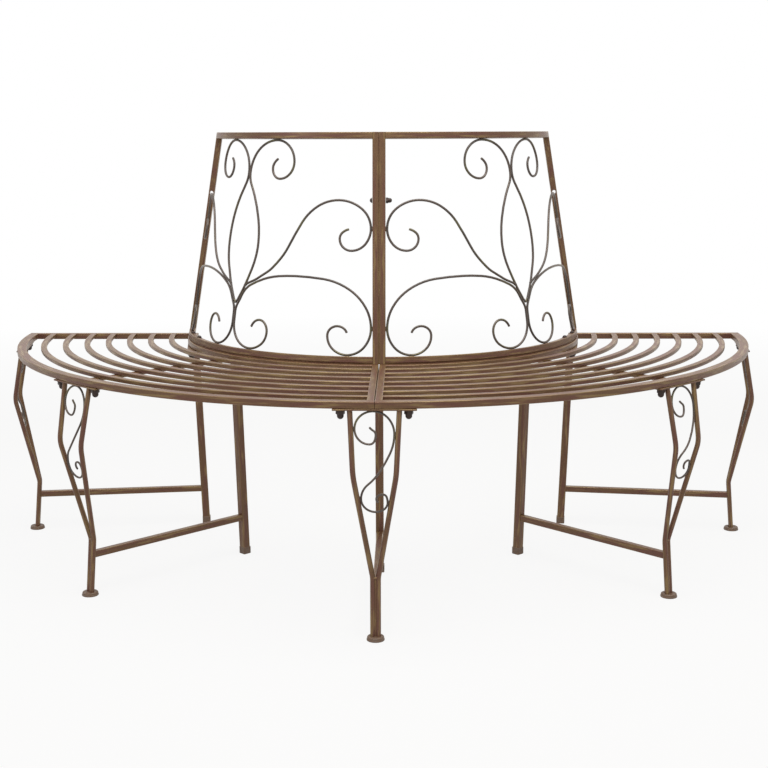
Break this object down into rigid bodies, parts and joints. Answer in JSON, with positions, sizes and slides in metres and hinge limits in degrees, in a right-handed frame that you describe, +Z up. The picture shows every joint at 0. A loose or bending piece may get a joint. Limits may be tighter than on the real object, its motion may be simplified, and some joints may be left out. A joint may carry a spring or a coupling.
{
  "type": "tree bench",
  "caption": "Half-round steel tree bench: slatted half-ring seat on bent bar legs with scrolls, and a conical scrollwork backrest; two stand round a tree",
  "frame": {"origin": "On the ground at the axis of the tree, the centre of the seat's half ring", "axes": "+X to the right seen from the front, +Y away from the viewer towards the open flat side, +Z up; the bench lies at Y below 0 and its open ends end at Y = 0"},
  "size_m": [1.626, 0.8154, 0.875],
  "materials": {
    "powder_coat": "antique bronze brown powder coat, satin",
    "dark_fastener": "blackened steel cap nuts and bolts, satin",
    "foot_cap": "bronze brown moulded plastic foot caps, satin"
  },
  "bodies": {
    "root": {"left_outer_rim": "powder_coat", "left_inner_rim": "powder_coat", "left_end_rail": "powder_coat", "left_centre_rail": "powder_coat", "left_crossbar": "powder_coat", "left_back_bottom_rail": "powder_coat", "left_back_top_rail": "powder_coat", "left_end_post": "powder_coat", "left_centre_post": "powder_coat", "left_upper_scrolls": "powder_coat", "left_middle_scrolls": "powder_coat", "left_lower_scrolls": "powder_coat", "right_outer_rim": "powder_coat", "right_inner_rim": "powder_coat", "right_end_rail": "powder_coat", "right_centre_rail": "powder_coat", "right_crossbar": "powder_coat", "right_back_bottom_rail": "powder_coat", "right_back_top_rail": "powder_coat", "right_end_post": "powder_coat", "right_centre_post": "powder_coat", "right_upper_scrolls": "powder_coat", "right_middle_scrolls": "powder_coat", "right_lower_scrolls": "powder_coat", "slats_1": "powder_coat", "slats_2": "powder_coat", "slats_3": "powder_coat", "slats_4": "powder_coat", "slats_5": "powder_coat", "slats_6": "powder_coat", "slats_7": "powder_coat", "left_back_leg_outer_bars": "powder_coat", "left_back_leg_scroll": "powder_coat", "left_back_leg_inner_post": "powder_coat", "left_back_leg_stretcher": "powder_coat", "left_front_leg_outer_bars": "powder_coat", "left_front_leg_scroll": "powder_coat", "left_front_leg_inner_post": "powder_coat", "left_front_leg_stretcher": "powder_coat", "centre_leg_outer_bars": "powder_coat", "centre_leg_scroll": "powder_coat", "centre_leg_inner_post": "powder_coat", "centre_leg_stretcher": "powder_coat", "right_front_leg_outer_bars": "powder_coat", "right_front_leg_scroll": "powder_coat", "right_front_leg_inner_post": "powder_coat", "right_front_leg_stretcher": "powder_coat", "right_back_leg_outer_bars": "powder_coat", "right_back_leg_scroll": "powder_coat", "right_back_leg_inner_post": "powder_coat", "right_back_leg_stretcher": "powder_coat", "outer_plates": "powder_coat", "inner_plates": "powder_coat", "outer_cap_nuts": "dark_fastener", "inner_cap_nuts": "dark_fastener", "foot_caps": "foot_cap", "inner_foot_caps": "foot_cap", "rail_bolts": "dark_fastener", "centre_bolt": "dark_fastener", "centre_nut": "dark_fastener"}
  },
  "joints": []
}
